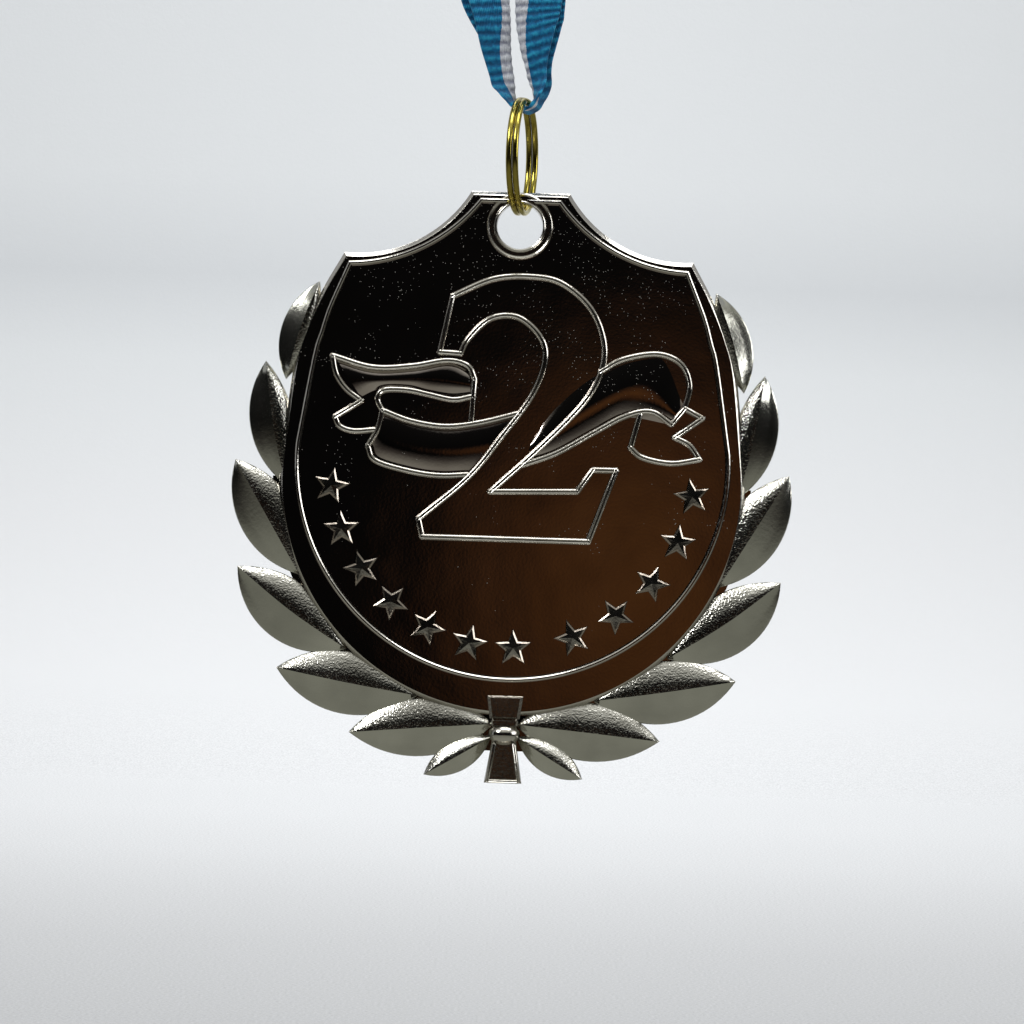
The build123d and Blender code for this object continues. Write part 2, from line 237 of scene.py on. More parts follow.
FIELD = nickel("nickel_field", ((0.50, 0.44, 0.40), (0.62, 0.56, 0.52)), (0.03, 0.09), 0.05, 3000, 0.60)
EDGE = nickel("nickel_edge", ((0.45, 0.43, 0.39), (0.62, 0.60, 0.55)), (0.10, 0.22), 0.25, 3000, 0)
SMOOTH = nickel("nickel_smooth", ((0.44, 0.44, 0.39), (0.56, 0.56, 0.50)), (0.12, 0.22), 0.15, 2500, 0)
FROST = nickel("nickel_frosted", ((0.40, 0.39, 0.35), (0.80, 0.79, 0.73)), (0.08, 0.20), 1.0, 4200, 0)
GILT = gilt()
WEAVE = woven()
TAPE = cloth("cotton_tape", (0.62, 0.60, 0.54), (0.80, 0.78, 0.72), 1200)
THREAD = cloth("sewing_thread", (0.66, 0.67, 0.70), (0.86, 0.87, 0.90), 3000)


# ---- mesh helpers --------------------------------------------------------------------------------
def make_mesh(name, verts, faces, mats, face_mats=None, sharp=35):
    """A mesh object in metres, smooth but for edges sharper than the given angle."""
    mesh = bpy.data.meshes.new(name)
    mesh.from_pydata([tuple(v) for v in verts], [], faces)
    for mat in mats:
        mesh.materials.append(mat)
    if face_mats:
        mesh.polygons.foreach_set("material_index", face_mats)
    finish_mesh(mesh, sharp)
    obj = bpy.data.objects.new(name, mesh)
    bpy.context.collection.objects.link(obj)
    return obj


def finish_mesh(mesh, sharp):
    bm = bmesh.new()
    bm.from_mesh(mesh)
    bmesh.ops.recalc_face_normals(bm, faces=bm.faces)
    for face in bm.faces:
        face.smooth = True
    for edge in bm.edges:
        if len(edge.link_faces) == 2:
            edge.smooth = edge.calc_face_angle(0) < math.radians(sharp)
    bm.to_mesh(mesh)
    bm.free()


def on_medal(x, y, z):
    """From the medal's own millimetres (across, up from the hole, towards the viewer) to the frame."""
    return Vector((x, -z, y - HOLE_BELOW)) / 1000


def belongs_to_medal(piece):
    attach(piece, "medal")
    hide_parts("medal")


def medal_piece(name, points, faces, mats, face_mats=None, sharp=35):
    belongs_to_medal(make_mesh(name, [on_medal(*p) for p in points], faces, mats, face_mats, sharp))


def skin(rings, cap=True):
    """Quads between equal closed rings of vertex numbers, with flat ends."""
    faces = []
    for a, b in zip(rings, rings[1:]):
        for i in range(len(a)):
            j = (i + 1) % len(a)
            faces.append((a[i], a[j], b[j], b[i]))
    if cap:
        faces.append(tuple(reversed(rings[0])))
        faces.append(tuple(rings[-1]))
    return faces


def smooth_line(points, steps=8):
    """A smooth curve through the points, or a straight line for two."""
    if len(points) == 2:
        return [np.array(points[0], float), np.array(points[1], float)]
    p = [np.array(q, float) for q in points]
    p = [2 * p[0] - p[1], *p, 2 * p[-1] - p[-2]]
    line = []
    for a, b, c, d in zip(p, p[1:], p[2:], p[3:]):
        for t in np.arange(steps) / steps:
            line.append(0.5 * (2 * b + (c - a) * t + (2 * a - 5 * b + 4 * c - d) * t * t
                               + (3 * b - a - 3 * c + d) * t ** 3))
    return [*line, p[-2]]


def arc(start, middle, end, steps):
    """Points on the circle through three points, from start up to end."""
    a, b, c = (complex(*q) for q in (start, middle, end))
    w = (c - a) / (b - a)
    centre = (b - a) * (w - abs(w) ** 2) / (2j * w.imag) + a
    first = np.angle(a - centre)
    through = (np.angle(b - centre) - first) % (2 * math.pi)
    sweep = (np.angle(c - centre) - first) % (2 * math.pi)
    if through > sweep:
        sweep -= 2 * math.pi
    turns = first + sweep * np.linspace(0, 1, steps + 1)
    return [np.array((centre.real + abs(a - centre) * math.cos(t),
                      centre.imag + abs(a - centre) * math.sin(t))) for t in turns]


# ---- ribbon: one strip along one smooth line -----------------------------------------------------
# All its points are in millimetres: place along the ring's axis, and height above RING_TOP.
SEAM_TO_RING = [
    (-7.5, 138.5), (-3, 139.9), (4, 139.75), (13, 131), (13, 118), (13, 90),
    (5.5, 84), (-1.2, 79.5), (5.5, 75), (13, 69), (13, 29),
    (13, 22.3), (7, 22.3), (7, 29), (7, 69),
    (2.5, 75), (-1.5, 79.5), (2.5, 84), (7, 90), (7, 124),
    (7, 131), (1, 131), (1, 124), (1, 90),
    (-0.5, 84), (-1.8, 79.5), (-0.5, 75), (1, 69), (1, 32),
]
RIGHT_TAIL = [(1.3, 2.0), (0.1, 5.0), (-1.4, 10.0), (-0.8, 16.0), (1.0, 22.0)]
BEND = [(1.35, -0.95), (-1.2, -0.75)]
LEFT_TAIL = [(-1.3, 2.0), (-1.9, 5.0), (-2.05, 10.0), (-3.2, 16.0), (-5.0, 22.0)]
RING_TO_SEAM = [
    (-5, 32), (-5, 69), (-3.5, 75), (-2.2, 79.5), (-3.5, 84), (-5, 90),
    (-5, 124), (-5, 131), (-11, 131), (-11, 124), (-11, 90),
    (-6.5, 84), (-2.5, 79.5), (-6.5, 75), (-11, 69), (-11, 29),
    (-11, 22.3), (-17, 22.3), (-17, 29), (-17, 69),
    (-9.5, 75), (-2.8, 79.5), (-9.5, 84), (-17, 90), (-17, 118),
    (-17, 131), (-9.5, 137.6), (-1, 139.2), (3.5, 138.5),
]
ROUTE = SEAM_TO_RING + RIGHT_TAIL[::-1] + BEND + LEFT_TAIL + RING_TO_SEAM


def in_ribbon_plane(x, z):
    return (ALONG * x + Vector((0, 0, RING_TOP + z))) / 1000


def route_line():
    """The route's smooth line as points in the frame."""
    curve = bpy.data.curves.new("ribbon_route", "CURVE")
    curve.dimensions = "3D"
    curve.resolution_u = 12
    spline = curve.splines.new("NURBS")
    spline.points.add(len(ROUTE) - 1)
    for point, (x, z) in zip(spline.points, ROUTE):
        point.co = (*in_ribbon_plane(x, z), 1)
    spline.order_u = 3
    spline.use_endpoint_u = True
    holder = bpy.data.objects.new("ribbon_route", curve)
    line = bpy.data.meshes.new_from_object(holder)
    points = np.array([v.co for v in line.vertices])
    bpy.data.objects.remove(holder)
    bpy.data.meshes.remove(line)
    bpy.data.curves.remove(curve)
    return points


GATHER = 0.38  # share of its width that the ribbon keeps in the ring
FOLD = math.radians(85)  # how far the two halves fold outwards above the ring
LEFT_TWIST = math.radians(24)  # turn of the left tail about its own line
NEAR_BEND = 36  # the ribs are modelled this far each way from the bend
FAR_STEP = 1.1
EDGE_SHARE = 0.45  # how thick the ribbon's edges are against its middle


def smoothstep(low, high, value):
    t = np.clip((value - low) / (high - low), 0, 1)
    return t * t * (3 - 2 * t)


def section(distance, left):
    """The ribbon's cross-section that far from its bend: (width place, across, outwards) in mm.

    It is gathered in the ring, its two halves fold outwards above the ring, and higher up it lies flat.
    """
    w = np.linspace(0, RIBBON_WIDTH / 2, 25)
    spread = smoothstep(4, 15, distance) if left else smoothstep(2, 11, distance)
    gather = GATHER + (1 - GATHER) * spread
    tail = smoothstep(1.0, 4.5, distance)
    fold = smoothstep(0.2, 1.9, w) if left else smoothstep(0.0, 1.1, w)
    turn = FOLD * fold * tail * (1 - smoothstep(21, 36, distance))
    middle = (turn[1:] + turn[:-1]) / 2
    step = w[1] - w[0]
    across = gather * np.concatenate([[0], np.cumsum(np.cos(middle) * step)])
    out = gather * np.concatenate([[0], np.cumsum(np.sin(middle) * step)])
    out += (1 - tail) * (w * gather) ** 2 / (2 * RING_R)
    sway = smoothstep(1.5, 4.5, distance) * (1 - smoothstep(7, 14, distance)) * smoothstep(0, 1.5, w)
    front, back = (0.6, 0.0) if left else (-0.9, -0.5)
    places = np.concatenate([-w[:0:-1], w])
    outwards = np.concatenate([(out + front * sway)[:0:-1], out + back * sway])
    return places, np.concatenate([-across[:0:-1], across]), outwards


def places_on(line, lengths, stations):
    """Points of the line at those distances along it."""
    return np.stack([np.interp(stations, lengths, line[:, k]) for k in range(3)], axis=1)


def make_ribbon():
    line = route_line()
    lengths = np.concatenate([[0], np.cumsum(np.linalg.norm(np.diff(line, axis=0), axis=1))]) * 1000
    bend = lengths[np.argmin(line[:, 2])]
    before = np.arange(0, bend - NEAR_BEND, FAR_STEP)
    near = np.arange(bend - NEAR_BEND, bend + NEAR_BEND, RIB_PITCH / 5)
    after = np.arange(near[-1] + 1, lengths[-1], FAR_STEP)
    stations = np.concatenate([before, near, after, [lengths[-1]]])
    centre = places_on(line, lengths, stations)
    tangent = places_on(line, lengths, stations + 0.4) - places_on(line, lengths, stations - 0.4)
    tangent /= np.linalg.norm(tangent, axis=1)[:, None]
    across_dir = np.array(ACROSS)
    verts, rings, uvs = [], [], []
    for s, c, t in zip(stations, centre, tangent):
        out_dir = np.cross(t, across_dir)
        distance = abs(s - bend)
        left = s > bend
        places, across, out = section(distance, left)
        twist = 0.0
        if left:
            twist = LEFT_TWIST * smoothstep(3, 12, distance) * (1 - smoothstep(20, 34, distance))
        b = across_dir * math.cos(twist) + out_dir * math.sin(twist)
        n = out_dir * math.cos(twist) - across_dir * math.sin(twist)
        flat = np.stack([across, out], axis=1)
        slope = np.gradient(flat, axis=0)
        slope /= np.linalg.norm(slope, axis=1)[:, None]
        rib = 0.5 + 0.5 * math.cos(2 * math.pi * s / RIB_PITCH)
        half = np.full(len(places), RIBBON_THICK / 2 - RIB_DEPTH / 2 * (1 - rib))
        half[[0, -1]] *= EDGE_SHARE
        stretch = 1 + 0.012 * (rib - 0.5)
        ring = []
        for side, order in ((1, range(len(places))), (-1, range(len(places) - 1, -1, -1))):
            for k in order:
                a = flat[k, 0] * stretch - slope[k, 1] * half[k] * side
                o = flat[k, 1] + slope[k, 0] * half[k] * side
                ring.append(len(verts))
                verts.append(c + (b * a + n * o) / 1000)
                uvs.append((places[k], s))
        rings.append(ring)
    ribbon = make_mesh("neck_ribbon", verts, skin(rings), [WEAVE], sharp=70)
    layer = ribbon.data.uv_layers.new(name="UVMap")
    for loop in ribbon.data.loops:
        layer.data[loop.index].uv = uvs[loop.vertex_index]
    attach(ribbon, "ribbon")
    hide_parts("ribbon", "ribbon_hank")


make_ribbon()


def paint(node, mat):
    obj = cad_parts[node]
    obj.data.materials.clear()
    obj.data.materials.append(mat)


paint("hank_tie", TAPE)
paint("seam_thread", THREAD)
paint("split_ring", GILT)


# ---- medal: shield plate and boss ----------------------------------------------------------------
# Outlines of the shield's right half: top corner, point on the hollow arc, shoulder, points down the side,
# then the height of the bowl's centre and its radius.
OUTER_OUTLINE = (
    (5.75, 3.95), (11.0, -1.4), (20.4, -3.65), [(22.8, -8.0), (24.7, -12.5), (25.9, -17.0)], -30.0, 27.2,
)
INNER_OUTLINE = (
    (4.6, 2.9), (10.0, -2.0), (19.7, -4.9), [(21.8, -10.0), (22.7, -13.0), (23.5, -16.0)], -27.8, 25.2,
)
PLATE_HOLE_R = 3.2


def half_outline(top, top_mid, shoulder, side, bowl_y, bowl):
    """Right half of a shield outline, from the middle of its top edge to its lowest point."""
    foot, belly = ((bowl * math.cos(a), bowl_y + bowl * math.sin(a)) for a in np.radians((4, -43)))
    points = [np.array((top[0] * t, top[1])) for t in (0, 0.25, 0.5, 0.75)]
    points += arc(top, top_mid, shoulder, 16)[:-1]
    points += smooth_line([shoulder, *side, foot], 6)[:-1]
    points += arc(foot, belly, (0, bowl_y - bowl), 44)
    return points


def whole(half):
    """The full outline, clockwise from the middle of its top edge."""
    return np.array([*half, *[(-x, y) for x, y in half[-2:0:-1]]])


def inset(outline, amount):
    """The outline moved inwards by that much."""
    nxt, prev = np.roll(outline, -1, axis=0), np.roll(outline, 1, axis=0)
    a = outline - prev
    b = nxt - outline
    a /= np.linalg.norm(a, axis=1)[:, None]
    b /= np.linalg.norm(b, axis=1)[:, None]
    bisector = a + b
    bisector /= np.linalg.norm(bisector, axis=1)[:, None]
    inward = np.stack([bisector[:, 1], -bisector[:, 0]], axis=1)
    share = np.sum(bisector * a, axis=1)
    return outline + inward * (amount / share)[:, None]


def make_plate():
    """Shield with a bevelled border, a raised inner line and a sunk field."""
    outer = whole(half_outline(*OUTER_OUTLINE))
    inner = whole(half_outline(*INNER_OUTLINE))
    # Outline, height and material, from the back over the border to the field.
    loops = [
        (inset(outer, 0.35), BACK, 1), (outer, BACK + 0.35, 1), (outer, BAND - 0.45, 1),
        (inset(outer, 0.34), BAND - 0.07, 1), (inset(outer, 0.45), BAND, 1),
        (inset(outer, 0.50), BAND, 0), (inset(inner, -0.40), BAND, 0), (inset(inner, -0.30), BAND, 0),
        (inset(inner, -0.20), RIDGE - 0.1, 1),
        (inset(inner, -0.08), RIDGE, 1), (inset(inner, 0.08), RIDGE, 1),
        (inset(inner, 0.20), RIDGE - 0.1, 1), (inset(inner, 0.34), FIELD_Z, 1),
    ]
    points, rings, face_mats = [], [], []
    for k, (loop, z, mat) in enumerate(loops):
        rings.append(list(range(len(points), len(points) + len(loop))))
        points += [(x, y, z) for x, y in loop]
        if k:
            face_mats += [mat] * len(loop)
    plate = make_mesh("shield_plate", [on_medal(*p) for p in points], skin(rings), [FIELD, EDGE],
                      face_mats + [0, 0], 20)
    cut_hole(plate, PLATE_HOLE_R)
    finish_mesh(plate.data, 20)
    belongs_to_medal(plate)


def cut_hole(obj, radius):
    """A round hole through the piece about the hanging hole's axis."""
    circle = [(radius * math.cos(a), radius * math.sin(a)) for a in np.arange(64) * math.pi / 32]
    points = [(x, y, z) for z in (BACK - 1, RIDGE + 1) for x, y in circle]
    cutter = make_mesh("cutter", [on_medal(*p) for p in points],
                       skin([list(range(64)), list(range(64, 128))]), [FIELD])
    tool = obj.modifiers.new("hole", "BOOLEAN")
    tool.object = cutter
    tool.operation = "DIFFERENCE"
    tool.solver = "EXACT"
    bpy.context.view_layer.update()
    cut = bpy.data.meshes.new_from_object(obj.evaluated_get(bpy.context.evaluated_depsgraph_get()))
    obj.modifiers.clear()
    obj.data = cut
    bpy.data.objects.remove(cutter)


# Radius and height of the boss's turned rings.
BOSS_PROFILE = [
    (2.65, BACK + 0.2), (2.65, 1.15), (2.72, 1.36), (2.85, 1.42), (2.98, 1.36), (3.1, 1.12),
    (3.5, 1.12), (3.6, 1.36), (3.72, 1.42), (3.84, 1.34), (3.92, 1.1), (3.92, 0.5),
    (3.4, BACK), (2.8, BACK),
]


def make_boss():
    """Turned rings round the hanging hole."""
    rings, points = [], []
    for k in range(72):
        a = 2 * math.pi * k / 72
        rings.append(list(range(len(points), len(points) + len(BOSS_PROFILE))))
        points += [(r * math.cos(a), r * math.sin(a), z) for r, z in BOSS_PROFILE]
    medal_piece("eye_boss", points, skin([*rings, rings[0]], cap=False), [EDGE], sharp=40)


def ridge(points, faces, line, width, low, high):
    """Adds a raised band along the line, with rounded top edges and ends."""
    line = np.array(line)
    tangents = np.gradient(line, axis=0) if len(line) > 2 else np.array([line[1] - line[0]] * 2)
    tangents /= np.linalg.norm(tangents, axis=1)[:, None]

    def past_end(k, reach):
        share = math.sqrt(max(1 - reach * reach, 0.01))
        return line[k] + tangents[k] * width / 2 * reach, tangents[k], share

    stations = [past_end(0, reach) for reach in (-1.0, -0.87, -0.5)]
    stations += [(p, t, 1.0) for p, t in zip(line, tangents)]
    stations += [past_end(-1, reach) for reach in (0.5, 0.87, 1.0)]
    shape = [(-1, low), (-0.94, high - 0.22), (-0.72, high - 0.05), (-0.45, high), (-0.2, high - 0.05),
             (0.2, high - 0.05), (0.45, high), (0.72, high - 0.05), (0.94, high - 0.22), (1, low)]
    rings = []
    for place, t, share in stations:
        side = np.array((-t[1], t[0])) * width / 2 * share
        rings.append(list(range(len(points), len(points) + len(shape))))
        points += [(*(place + side * u), z - (1 - share) * 0.25) for u, z in shape]
    faces += skin(rings)


# ---- medal: relief, with places across and up from the hanging hole ------------------------------
NUMERAL = [
    [(-7.6, -8.4), (-3.0, -6.3), (1.2, -5.85), (5.0, -6.5), (8.5, -9.3), (10.2, -13.2),
     (10.0, -16.7), (8.0, -20.5), (3.1, -25.8), (-2.5, -31.1)],
    [(-2.5, -31.1), (7.6, -30.8)],
    [(7.6, -30.8), (9.4, -28.2)],
    [(9.4, -28.2), (12.1, -28.2)],
    [(12.1, -28.2), (9.1, -36.6)],
    [(9.1, -36.6), (-10.3, -36.6)],
    [(-10.3, -36.6), (-10.8, -34.5)],
    [(-10.8, -34.5), (-5.1, -29.45), (-1.3, -24.5), (1.9, -19.9), (3.4, -15.8), (2.8, -12.9),
     (0.1, -10.65), (-3.1, -10.9), (-5.6, -13.3), (-6.5, -15.1)],
    [(-6.5, -15.1), (-8.9, -15.0)],
    [(-8.9, -15.0), (-7.6, -8.4)],
]
BANNER = [
    [(-21.4, -15.8), (-16.7, -17.0), (-12.0, -16.7), (-8.0, -15.95), (-5.6, -16.5), (-4.75, -18.0)],
    [(-4.75, -18.0), (-5.0, -23.0)],
    [(-21.4, -15.8), (-20.9, -17.9), (-19.7, -19.6), (-17.9, -20.95)],
    [(-17.9, -20.95), (-20.9, -22.9)],
    [(-20.9, -22.9), (-20.3, -24.0), (-18.7, -24.5), (-16.3, -24.3)],
    [(-5.1, -20.1), (-7.2, -20.5), (-10.0, -20.0), (-12.5, -19.55), (-15.3, -19.65), (-16.0, -20.7),
     (-15.4, -22.0)],
    [(-15.4, -22.0), (-12.0, -23.15), (-8.0, -23.65), (-4.0, -23.1), (0.4, -21.9)],
    [(-15.4, -22.0), (-15.9, -24.2), (-17.0, -26.2)],
    [(-17.0, -26.2), (-16.0, -27.9), (-12.0, -29.0), (-8.5, -29.4), (-5.2, -29.2)],
    [(9.9, -16.7), (12.5, -15.2), (16.5, -14.45), (19.3, -15.5), (20.4, -18.0), (19.9, -20.7)],
    [(1.1, -27.9), (5.0, -26.4), (9.0, -24.05), (13.0, -21.8), (16.0, -21.2), (18.4, -22.6)],
    [(18.4, -22.6), (19.9, -20.7)],
    [(19.9, -20.7), (22.0, -21.8)],
    [(22.0, -21.8), (18.8, -24.1)],
    [(18.8, -24.1), (20.6, -25.0), (21.8, -26.6)],
    [(21.8, -26.6), (18.5, -27.15), (15.2, -26.6), (13.7, -25.5)],
    [(13.7, -25.5), (14.7, -21.6)],
]


def make_lines(name, stretches, width):
    """One raised band along each stretch."""
    points, faces = [], []
    for stretch in stretches:
        ridge(points, faces, smooth_line(stretch), width, FIELD_Z - 0.05, RIDGE)
    medal_piece(name, points, faces, [EDGE], sharp=50)


# Upper and lower edge of each face of the banner.
PADS = [
    ([(-21.0, -16.1), (-16.7, -17.2), (-12.0, -16.9), (-8.0, -16.2), (-5.2, -17.2)],
     [(-18.0, -20.5), (-15.8, -19.5), (-12.5, -19.4), (-10.0, -19.9), (-5.2, -20.0)]),
    ([(-15.3, -22.2), (-12.0, -23.35), (-8.0, -23.85), (-4.0, -23.3), (0.2, -22.1)],
     [(-16.8, -26.2), (-15.6, -27.8), (-12.0, -28.8), (-8.5, -29.2), (-5.2, -29.0)]),
    ([(2.2, -24.9), (5.0, -21.0), (9.9, -16.9), (16.5, -14.65), (19.8, -20.4)],
     [(1.3, -27.8), (5.0, -26.6), (9.0, -24.25), (13.0, -22.0), (18.3, -22.6)]),
]


PAD_SWELL = 1.3


def make_pads():
    """Swollen faces of the banner between its outlines."""
    points, faces = [], []
    for upper, lower in PADS:
        top, low = np.array(smooth_line(upper)), np.array(smooth_line(lower))
        rings = []
        for a, b in zip(top, low):
            rings.append(list(range(len(points), len(points) + 13)))
            for t in np.linspace(0, 1, 11):
                points.append((*(a + (b - a) * t), FIELD_Z + 0.05 + PAD_SWELL * t * (1 - t)))
            points += [(*b, FIELD_Z - 0.05), (*a, FIELD_Z - 0.05)]
        faces += skin(rings)
    medal_piece("banner_faces", points, faces, [FIELD], sharp=50)


STAR_CIRCLE_Y = -28.0
STAR_CIRCLE_R = 21.3
STAR_R = 2.3
STAR_WAIST_R = 1.0
STAR_PEAK = 1.5
STAR_GROUPS = [(7, -82, 2), (5, 21, 82)]  # how many, first and last angle from straight down


def make_stars():
    """Five-pointed stars on an arc along the bowl, each with ten sloping facets."""
    points, faces = [], []
    for count, first, last in STAR_GROUPS:
        for k in range(count):
            angle = math.radians(first + (last - first) * k / (count - 1))
            x = STAR_CIRCLE_R * math.sin(angle)
            y = STAR_CIRCLE_Y - STAR_CIRCLE_R * math.cos(angle)
            start = len(points)
            for z, size in ((FIELD_Z - 0.05, 1.0), (1.15, 0.93), (1.42, 0.72)):
                for corner in range(10):
                    reach = (STAR_R if corner % 2 == 0 else STAR_WAIST_R) * size
                    turn = angle + math.pi / 2 + corner * math.pi / 5
                    points.append((x + reach * math.cos(turn), y + reach * math.sin(turn), z))
            points.append((x, y, STAR_PEAK))
            for c in range(10):
                d = (c + 1) % 10
                faces.append((start + c, start + d, start + 10 + d, start + 10 + c))
                faces.append((start + 10 + c, start + 10 + d, start + 20 + d, start + 20 + c))
                faces.append((start + 20 + c, start + 20 + d, start + 30))
            faces.append(tuple(range(start, start + 10)))
    medal_piece("star_arc", points, faces, [EDGE], sharp=12)


# Base, tip, bulge outwards and bulge inwards of each leaf on one side, from the top.
LEAVES = [
    ((26.8, -18.7), (23.2, -7.1), 2.6, 1.5),
    ((26.5, -31.0), (29.2, -16.6), 3.1, 2.2),
    ((24.5, -41.5), (32.4, -28.2), 3.4, 3.4),
    ((18.8, -50.0), (31.8, -40.7), 4.2, 3.0),
    ((10.3, -55.2), (26.9, -52.4), 3.9, 3.6),
    ((1.2, -58.2), (18.2, -59.7), 3.4, 3.6),
    ((1.5, -59.7), (9.3, -64.4), 1.9, 1.8),
]
LEAF_STEPS = 22
LEAF_ACROSS = [-1, -0.97, -0.88, -0.7, -0.5, -0.3, -0.15, 0, 0.15, 0.3, 0.5, 0.7, 0.88, 0.97, 1]
LEAF_LOW = 0.35  # height of the leaf's top along its edges
LEAF_RISE = 1.05
LIP_RISE = 0.10


def make_leaf(name, base, tip, bulge_out, bulge_in, mirrored):
    """A pointed leaf with a raised midrib: the facet nearer the shield is frosted, the other one smooth."""
    base, tip = np.array(base), np.array(tip)
    length = np.linalg.norm(tip - base)
    ahead = (tip - base) / length
    outward = np.array((ahead[1], -ahead[0]))
    middle = (base + tip) / 2
    outer = np.array(arc(base, middle + outward * (bulge_out - 0.05), tip, LEAF_STEPS))
    inner = np.array(arc(base, middle - outward * (bulge_in - 0.05), tip, LEAF_STEPS))
    bow = (bulge_out - bulge_in) / 2 * 0.6
    rib = np.array(smooth_line([base, middle + outward * bow, tip], LEAF_STEPS // 2))
    points, rings = [], []
    for k in range(LEAF_STEPS + 1):
        t = k / LEAF_STEPS
        swell = math.sin(math.pi * (t * 0.96 + 0.02)) ** 0.35
        ring = []
        for u in LEAF_ACROSS:
            edge = inner[k] if u < 0 else outer[k]
            place = rib[k] + (edge - rib[k]) * abs(u)
            lift = LEAF_RISE * (1 - (u * u if u < 0 else u)) * swell
            lip = LIP_RISE * math.exp(-((abs(u) - 0.92) / 0.05) ** 2)
            height = LEAF_LOW + lift + lip if abs(u) < 1 else 0.15
            ring.append(len(points))
            points.append((place[0], place[1], height))
        for u in (1.0, -1.0):
            edge = inner[k] if u < 0 else outer[k]
            ring.append(len(points))
            points.append((*(rib[k] + (edge - rib[k]) * 0.97), BACK))
        rings.append(ring)
    faces = skin(rings)
    count = len(rings[0])
    mats = [0 if i % count < len(LEAF_ACROSS) // 2 else 1 for i in range(len(faces))]
    if mirrored:
        points = [(-x, y, z) for x, y, z in points]
    medal_piece(name, points, faces, [FROST, SMOOTH], mats, 13)


STEM_TOP = -54.9
STEM_KNOT = -59.4
STEM_FOOT = -65.1
KNOT_RADII = (1.85, 1.3)  # across and up


def make_stem():
    """Panel, bar, knot and flared foot of the wreath."""
    points, faces = [], []

    def block(outline, top, bevel):
        rings = []
        low = np.array(outline)
        centre = low.mean(axis=0)
        reach = np.linalg.norm(low - centre, axis=1)[:, None]
        for share, z in ((bevel * 0.6, BACK), (0, BACK + 0.3), (0, top - bevel), (bevel, top)):
            loop = low + (centre - low) / reach * share * 1.4
            rings.append(list(range(len(points), len(points) + len(loop))))
            points.extend((x, y, z) for x, y in loop)
        faces.extend(skin(rings))

    block([(-2.1, STEM_TOP), (2.1, STEM_TOP), (1.75, -57.6), (-1.75, -57.6)], 1.5, 0.3)
    block([(-1.6, -57.75), (1.6, -57.75), (1.5, -58.35), (-1.5, -58.35)], 1.75, 0.15)
    block([(-1.4, -60.2), (1.4, -60.2), (2.2, STEM_FOOT), (-2.2, STEM_FOOT)], 1.1, 0.15)
    block([(-1.4, -57.2), (1.4, -57.2), (1.4, -60.6), (-1.4, -60.6)], 0.8, 0.1)
    for side in (-1, 1):
        ridge(points, faces, [(side * 1.15, -60.6), (side * 1.85, -64.8)], 0.55, 0.4, 1.75)
    ridge(points, faces, [(-1.8, -64.85), (1.8, -64.85)], 0.5, 0.4, 1.7)
    rings = []
    for k in range(10):
        tilt = math.pi / 2 * k / 9.5
        rings.append(list(range(len(points), len(points) + 32)))
        for a in np.arange(32) * math.pi / 16:
            x = KNOT_RADII[0] * math.cos(tilt) * math.cos(a)
            y = STEM_KNOT + KNOT_RADII[1] * math.cos(tilt) * math.sin(a)
            points.append((x, y, 0.6 + 1.65 * math.sin(tilt)))
    faces.extend(skin(rings))
    medal_piece("wreath_stem", points, faces, [EDGE], sharp=35)


WEB_Z = 0.0
WEB_CENTRE_Y = -30
WEB_R = 28
WEB_FOOT = [(-2.7, -57.2), (-2.7, -61.4), (2.7, -61.4), (2.7, -57.2)]


def make_web():
    """Low web between the roots of the lower leaves, and beside the stem's knot."""
    rim = [(WEB_R * math.cos(a), WEB_CENTRE_Y + WEB_R * math.sin(a)) for a in np.linspace(-math.pi, 0, 60)]
    points, faces = [], []
    for outline in (rim, WEB_FOOT):
        low = list(range(len(points), len(points) + len(outline)))
        points += [(x, y, z) for z in (BACK + 0.02, WEB_Z) for x, y in outline]
        faces += skin([low, [k + len(outline) for k in low]])
    medal_piece("wreath_web", points, faces, [FIELD], sharp=20)


make_plate()
make_web()
make_boss()
make_lines("numeral", NUMERAL, 0.75)
make_lines("banner", BANNER, 0.72)
make_pads()
make_stars()
for number, (base, tip, bulge_out, bulge_in) in enumerate(LEAVES):
    make_leaf("leaf_right_%d" % number, base, tip, bulge_out, bulge_in, False)
    make_leaf("leaf_left_%d" % number, base, tip, bulge_out, bulge_in, True)
make_stem()


# ---- stage, in metres: pale backdrop with painted light and shade, glowing hood in front that paints reflections, soft lights ---
FLOOR = -0.33
FLOOR_END = 1.5
CURVE_R = 0.5
AIM = (0, 0, -0.18)


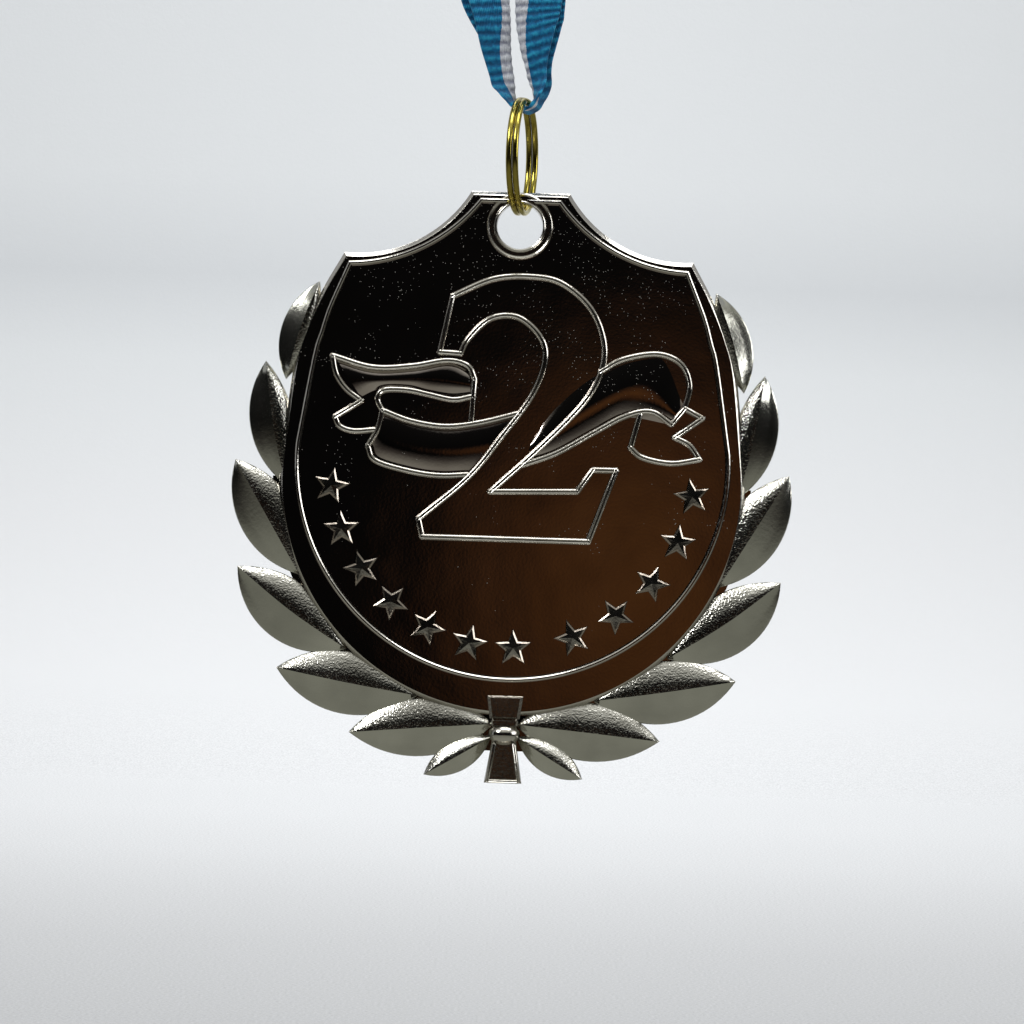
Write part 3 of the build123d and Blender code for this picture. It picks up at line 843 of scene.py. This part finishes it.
def make_backdrop():
    """Pale floor that curves up into a wall, with painted light and shade along and across."""
    profile = [(-2.5, FLOOR), (FLOOR_END, FLOOR)]
    for a in np.linspace(0.1, 1.57, 16):
        profile.append((FLOOR_END + CURVE_R * math.sin(a), FLOOR + CURVE_R - CURVE_R * math.cos(a)))
    profile.append((FLOOR_END + CURVE_R, 2.5))
    verts = [(x, y, z) for x in (-3, 3) for y, z in profile]
    count = len(profile)
    faces = [(k, k + 1, count + k + 1, count + k) for k in range(count - 1)]
    m = Nodes("paper")
    x, y, z = m.split(m.coords())
    height = m.math("ADD", z, 0.4)
    # Painted shade: the wall darkens into a band across it and lightens again higher up.
    wall = m.ramp(height, [
        (0.06, (0.77, 0.78, 0.79)), (0.20, (0.69, 0.70, 0.71)), (0.30, (0.64, 0.66, 0.67)),
        (0.355, (0.565, 0.585, 0.60)), (0.42, (0.65, 0.67, 0.68)), (0.54, (0.69, 0.71, 0.72))])
    # Painted light and shade: the floor is darker at the front and brightens towards the wall.
    floor = m.ramp(m.math("MULTIPLY", y, 0.5), [
        (0.30, grey(0.50)), (0.40, grey(0.60)), (0.48, grey(0.71)), (0.56, grey(0.83)),
        (0.66, grey(0.94)), (0.75, grey(1))])
    # Painted pool of light: brightest in the middle, darker towards the sides.
    painted_centre_light = m.ramp(m.math("ABSOLUTE", x), [(0.02, grey(1)), (0.32, grey(0.93))])
    grain = m.ramp(m.noise(1000, 3, 0.8), [(0.35, grey(0.80)), (0.65, grey(1.10))])
    on_floor = m.ramp(height, [(0.075, grey(1)), (0.11, grey(0))])
    tone = m.mix(1.0, m.mix(1.0, wall, floor, "MULTIPLY"), painted_centre_light, "MULTIPLY")
    m.join(m.mix(on_floor, tone, grain, "MULTIPLY"), m.bsdf.inputs["Base Color"])
    m.bsdf.inputs["Roughness"].default_value = 0.9
    m.join(m.bump(m.noise(400, 4, 0.7), 0.15, 0.001), m.bsdf.inputs["Normal"])
    make_mesh("backdrop", verts, faces, [m.mat])


HOOD_CENTRE = Vector((0, 0, -0.19))
HOOD_R = 1.3
HOOD_LOW = -0.325  # just above the floor


def make_hood():
    """Hood round the medal's front that only reflections show: it glows and paints them, grey below, near
    black in the middle, bright at the top, with a warm brown glow.
    """
    verts, rings = [], []
    for share in np.linspace(0.01, 1, 24):
        rings.append(list(range(len(verts), len(verts) + 40)))
        for a in np.arange(40) * math.pi / 20:
            tilt = math.radians(share * (80 + 30 * max(0, -math.sin(a))))
            ray = Vector((math.sin(tilt) * math.cos(a), -math.cos(tilt), math.sin(tilt) * math.sin(a)))
            place = HOOD_CENTRE + HOOD_R * ray
            place.z = max(place.z, HOOD_LOW)
            verts.append(place)
    m = Nodes("hood")
    away = m.add("ShaderNodeVectorMath", operation="SUBTRACT")
    m.join(m.coords(), away.inputs[0])
    away.inputs[1].default_value = HOOD_CENTRE
    direction = m.add("ShaderNodeVectorMath", operation="NORMALIZE")
    m.join(away.outputs[0], direction.inputs[0])
    x, _, z = m.split(direction.outputs[0])
    height = m.math("MULTIPLY", m.math("ADD", z, 1.0), 0.5)
    # Painted reflections: grey below, near black in the middle, bright towards the top.
    painted_reflection_bands = m.ramp(height, [
        (0.08, (0.32, 0.32, 0.28)), (0.34, (0.24, 0.24, 0.21)), (0.41, (0.05, 0.045, 0.04)),
        (0.45, (0.002, 0.002, 0.002)), (0.70, (0.006, 0.006, 0.006)), (0.79, (0.40, 0.40, 0.37)),
        (0.92, (0.9, 0.9, 0.86))])
    # Painted reflection of a warm brown glow a little right of and below the middle.
    near_x = m.math("POWER", m.math("MULTIPLY", m.math("ADD", x, -0.045), 11.0), 2.0)
    near_z = m.math("POWER", m.math("MULTIPLY", m.math("ADD", z, 0.025), 9.0), 2.0)
    painted_warm_reflection = m.ramp(m.math("SQRT", m.math("ADD", near_x, near_z)), [
        (0.0, (0.085, 0.034, 0.009)), (0.5, (0.045, 0.018, 0.006)), (0.9, (0.005, 0.003, 0.002)),
        (1.0, (0, 0, 0))])
    m.join(m.mix(1.0, painted_reflection_bands, painted_warm_reflection, "ADD"), m.bsdf.inputs["Emission Color"])
    m.bsdf.inputs["Emission Strength"].default_value = 1.0
    m.bsdf.inputs["Base Color"].default_value = (0, 0, 0, 1)
    m.bsdf.inputs["Specular IOR Level"].default_value = 0.0
    hood = make_mesh("hood", verts, skin(rings, cap=False) + [tuple(rings[0])], [m.mat])
    hood.visible_camera = False
    hood.visible_shadow = False
    hood.visible_diffuse = False


def make_light(name, place, aim, size, power):
    lamp = bpy.data.lights.new(name, "AREA")
    lamp.size = size
    lamp.energy = power
    obj = bpy.data.objects.new(name, lamp)
    bpy.context.collection.objects.link(obj)
    obj.location = place
    obj.rotation_euler = (Vector(aim) - Vector(place)).to_track_quat("-Z", "Y").to_euler()


make_backdrop()
make_hood()
make_light("key", (-0.5, -0.45, 0.35), AIM, 0.25, 3)
make_light("top", (0.1, 0.0, 0.6), AIM, 0.7, 7)
make_light("rim_right", (0.6, -0.2, 0.0), AIM, 0.3, 1.2)
make_light("wall", (0, 0.9, 1.6), (0, 2.0, 0.0), 1.5, 30)

world = bpy.data.worlds.new("world")
bpy.context.scene.world = world
world.use_nodes = True
world.node_tree.nodes["Background"].inputs["Color"].default_value = (0.84, 0.85, 0.87, 1)
world.node_tree.nodes["Background"].inputs["Strength"].default_value = 0.53

bpy.context.view_layer.update()
